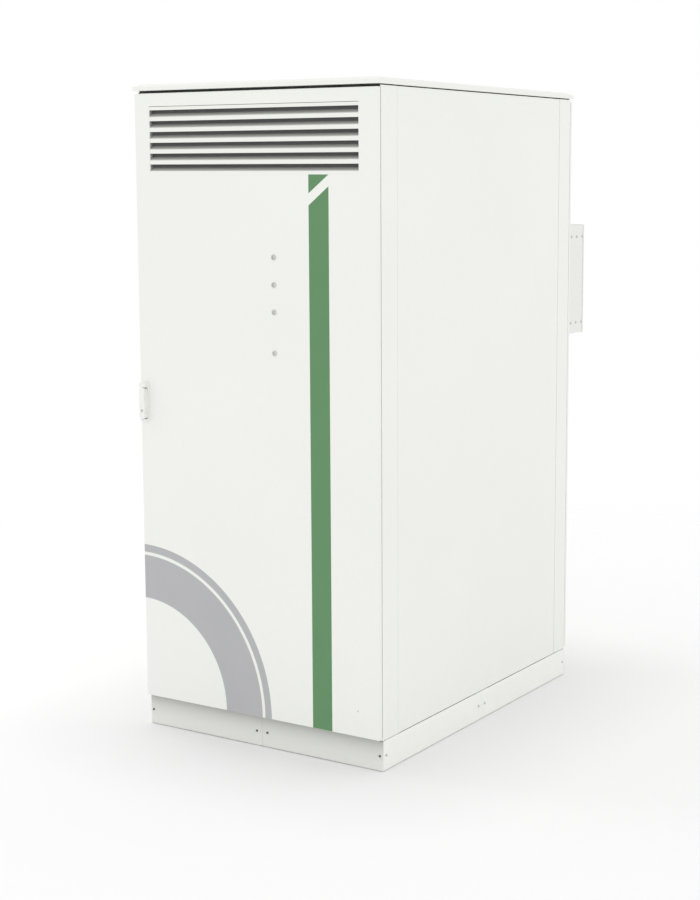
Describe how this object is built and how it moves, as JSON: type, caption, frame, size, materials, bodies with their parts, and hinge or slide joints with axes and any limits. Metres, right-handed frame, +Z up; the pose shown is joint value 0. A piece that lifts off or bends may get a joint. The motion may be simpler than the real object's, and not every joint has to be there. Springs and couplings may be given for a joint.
{
  "type": "battery cabinet",
  "caption": "Outdoor battery cabinet: steel body on a plinth, louvred front door with swing handle, racked battery packs, power converter, rear air conditioner",
  "frame": {"origin": "floor level, centre of the plinth footprint and of its four anchor holes", "axes": "+Z up; +X to the right of someone facing the door; the door looks along -Y"},
  "size_m": [1.008, 1.6156, 2.286],
  "materials": {
    "white_paint": "off-white textured powder coat",
    "plinth_paint": "off-white powder coat, slight floor scuffs",
    "frame_paint": "light grey powder coat inside",
    "galvanised": "galvanised sheet steel",
    "zinc_steel": "zinc-plated steel",
    "case_paint": "dark grey powder coat",
    "cell_case": "aluminium cell cases in blue film",
    "black_plastic": "moulded black plastic",
    "grey_plastic": "moulded grey plastic",
    "orange_plastic": "moulded orange plastic",
    "orange_jacket": "orange cable jacket",
    "white_plastic": "moulded off-white plastic",
    "red_plastic": "moulded red plastic",
    "copper": "bare copper bar",
    "fins": "bare aluminium fins",
    "seal_rubber": "black EPDM foam seal",
    "filter_cloth": "white non-woven filter mat in a steel frame",
    "lens_plastic": "smoke-grey lamp lens",
    "bezel_plastic": "grey plastic bezel",
    "lock_chrome": "nickel-plated lock cylinder",
    "detector_white": "white plastic and steel fire devices"
  },
  "bodies": {
    "cabinet": {"ac_casing": "white_paint", "ac_coils": "fins", "ac_compressor_and_motors": "case_paint", "ac_inner_cover": "white_paint", "ac_rear_grille": "white_paint", "base_and_gland_plate": "galvanised", "battery_cases": "case_paint", "battery_rack": "galvanised", "body_rails": "frame_paint", "body_seals": "seal_rubber", "cable_glands": "grey_plastic", "cell_rows": "cell_case", "control_plate": "galvanised", "controller_and_terminals": "grey_plastic", "converter_fan_frames": "black_plastic", "corner_posts": "white_paint", "cover_screws": "zinc_steel", "earth_bar": "copper", "fire_protection": "detector_white", "high_voltage_box": "case_paint", "hinge_brackets": "zinc_steel", "lock_keepers": "zinc_steel", "pack_handles": "zinc_steel", "pack_plugs_minus": "black_plastic", "pack_plugs_plus": "orange_plastic", "pack_power_cables": "orange_jacket", "partition_shelf": "galvanised", "plinth_covers_front_rear": "plinth_paint", "plinth_covers_sides": "plinth_paint", "plinth_feet": "galvanised", "power_converter": "frame_paint", "rack_front_plates": "case_paint", "rear_panel": "white_paint", "roof_cap": "white_paint", "roof_lifting_plugs": "white_plastic", "side_panel_left": "white_paint", "side_panel_right": "white_paint", "switch_bodies": "grey_plastic"},
    "door": {"door_skin": "white_paint", "louvre": "white_paint", "air_filter": "filter_cloth", "door_stiffeners_and_guides": "frame_paint", "door_gasket": "seal_rubber", "door_bezels_and_plug": "bezel_plastic", "lamp_lenses": "lens_plastic", "hinge_leaves_and_pins": "zinc_steel", "handle_base": "white_plastic"},
    "spindle": {"handle_spindle": "zinc_steel"},
    "grip": {"handle_grip": "white_plastic", "lock_cylinder": "lock_chrome"},
    "rod_upper": {"lock_rod_upper": "zinc_steel"},
    "rod_lower": {"lock_rod_lower": "zinc_steel"},
    "button": {"push_button": "bezel_plastic"},
    "isolator": {"isolator_knob": "red_plastic"},
    "toggle": {"breaker_toggle": "black_plastic"},
    "fan_left": {"converter_fan_left": "black_plastic"},
    "fan_right": {"converter_fan_right": "black_plastic"},
    "condenser_fan": {"ac_condenser_fan": "black_plastic"},
    "blower": {"ac_blower": "black_plastic"}
  },
  "joints": [
    {"name": "door_hinge", "type": "hinge", "parent": "cabinet", "child": "door", "pos_m": [0.4925, -0.6805, 1.18], "axis": [0, 0, 1], "range_deg": [0, 105]},
    {"name": "handle_turn", "type": "hinge", "parent": "door", "child": "spindle", "pos_m": [-0.474, -0.6875, 1.221], "axis": [0, -1, 0], "range_deg": [0, 90]},
    {"name": "grip_lift", "type": "hinge", "parent": "spindle", "child": "grip", "pos_m": [-0.474, -0.705, 1.221], "axis": [-1, 0, 0], "range_deg": [0, 40]},
    {"name": "upper_rod_slide", "type": "slide", "parent": "door", "child": "rod_upper", "axis": [0, 0, -1], "range_m": [0, 0.0181]},
    {"name": "lower_rod_slide", "type": "slide", "parent": "door", "child": "rod_lower", "axis": [0, 0, 1], "range_m": [0, 0.0181]},
    {"name": "button_press", "type": "slide", "parent": "door", "child": "button", "axis": [0, 1, 0], "range_m": [0, 0.0025], "stiffness_N_per_m": 900},
    {"name": "isolator_turn", "type": "hinge", "parent": "cabinet", "child": "isolator", "pos_m": [0.12, -0.549, 1.575], "axis": [0, -1, 0], "range_deg": [0, 90]},
    {"name": "breaker_switch", "type": "hinge", "parent": "cabinet", "child": "toggle", "pos_m": [-0.356, -0.518, 1.5625], "axis": [1, 0, 0], "range_deg": [0, 70]},
    {"name": "left_fan_spin", "type": "hinge", "parent": "cabinet", "child": "fan_left", "pos_m": [-0.19, -0.544, 1.985], "axis": [0, 1, 0], "continuous": true},
    {"name": "right_fan_spin", "type": "hinge", "parent": "cabinet", "child": "fan_right", "pos_m": [0.19, -0.544, 1.985], "axis": [0, 1, 0], "continuous": true},
    {"name": "condenser_fan_spin", "type": "hinge", "parent": "cabinet", "child": "condenser_fan", "pos_m": [-0.215, 0.815, 1.565], "axis": [0, 1, 0], "continuous": true},
    {"name": "blower_spin", "type": "hinge", "parent": "cabinet", "child": "blower", "pos_m": [0.245, 0.625, 1.565], "axis": [0, 1, 0], "continuous": true}
  ],
  "couplings": [
    {"joint": "upper_rod_slide", "follows": "handle_turn", "m_per_rad": 0.011459},
    {"joint": "lower_rod_slide", "follows": "handle_turn", "m_per_rad": 0.011459}
  ]
}
